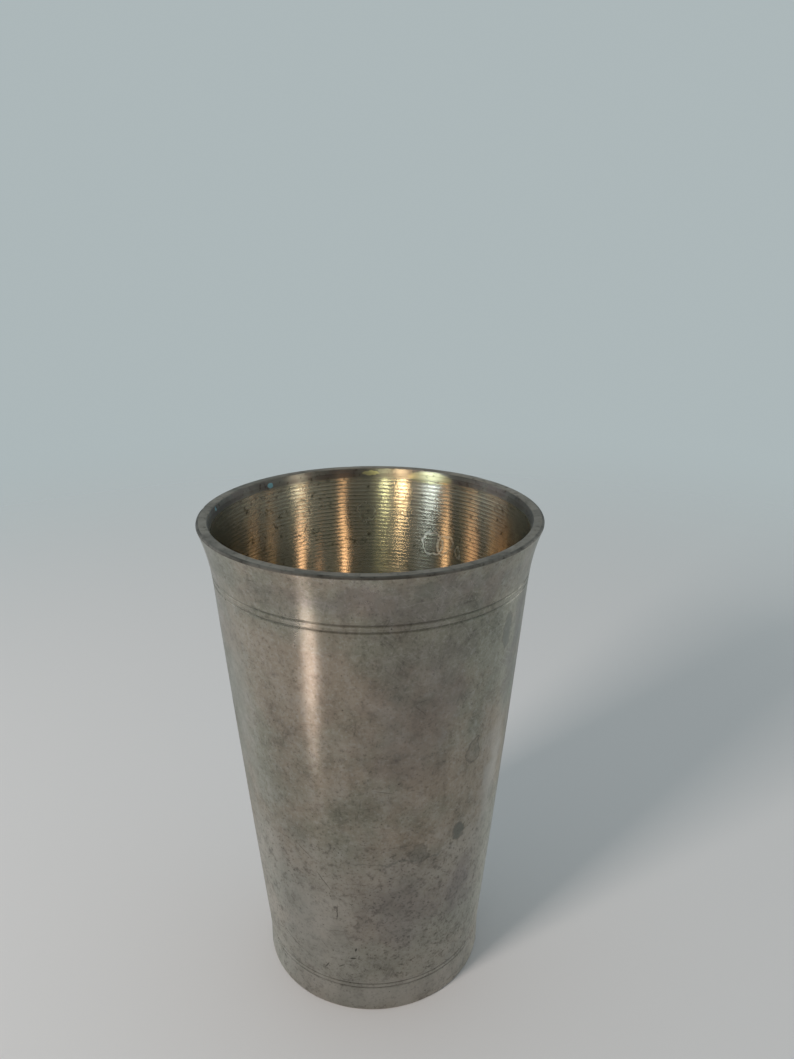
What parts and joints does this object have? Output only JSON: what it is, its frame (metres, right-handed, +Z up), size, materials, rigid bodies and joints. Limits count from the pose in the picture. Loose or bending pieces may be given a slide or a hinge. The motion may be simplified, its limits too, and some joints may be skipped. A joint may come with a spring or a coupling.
{
  "type": "bar jigger",
  "caption": "Tapered pewter measuring cup with a flared flat lip, fine turned lines near lip and foot, and a disc bottom soldered into the foot.",
  "frame": {"origin": "centre of the foot's underside, on the plane that the cup stands on", "axes": "+Z up the cup's axis and out of its mouth; the cup is round, so +X and +Y are free, and +Y points away from the usual front view"},
  "size_m": [0.07, 0.07, 0.1067],
  "materials": {
    "turned_pewter": "satin",
    "disc_pewter": "satin",
    "solder": "satin"
  },
  "bodies": {
    "root": {"cup_wall": "turned_pewter", "base_disc": "disc_pewter", "solder_seam": "solder"}
  },
  "joints": []
}
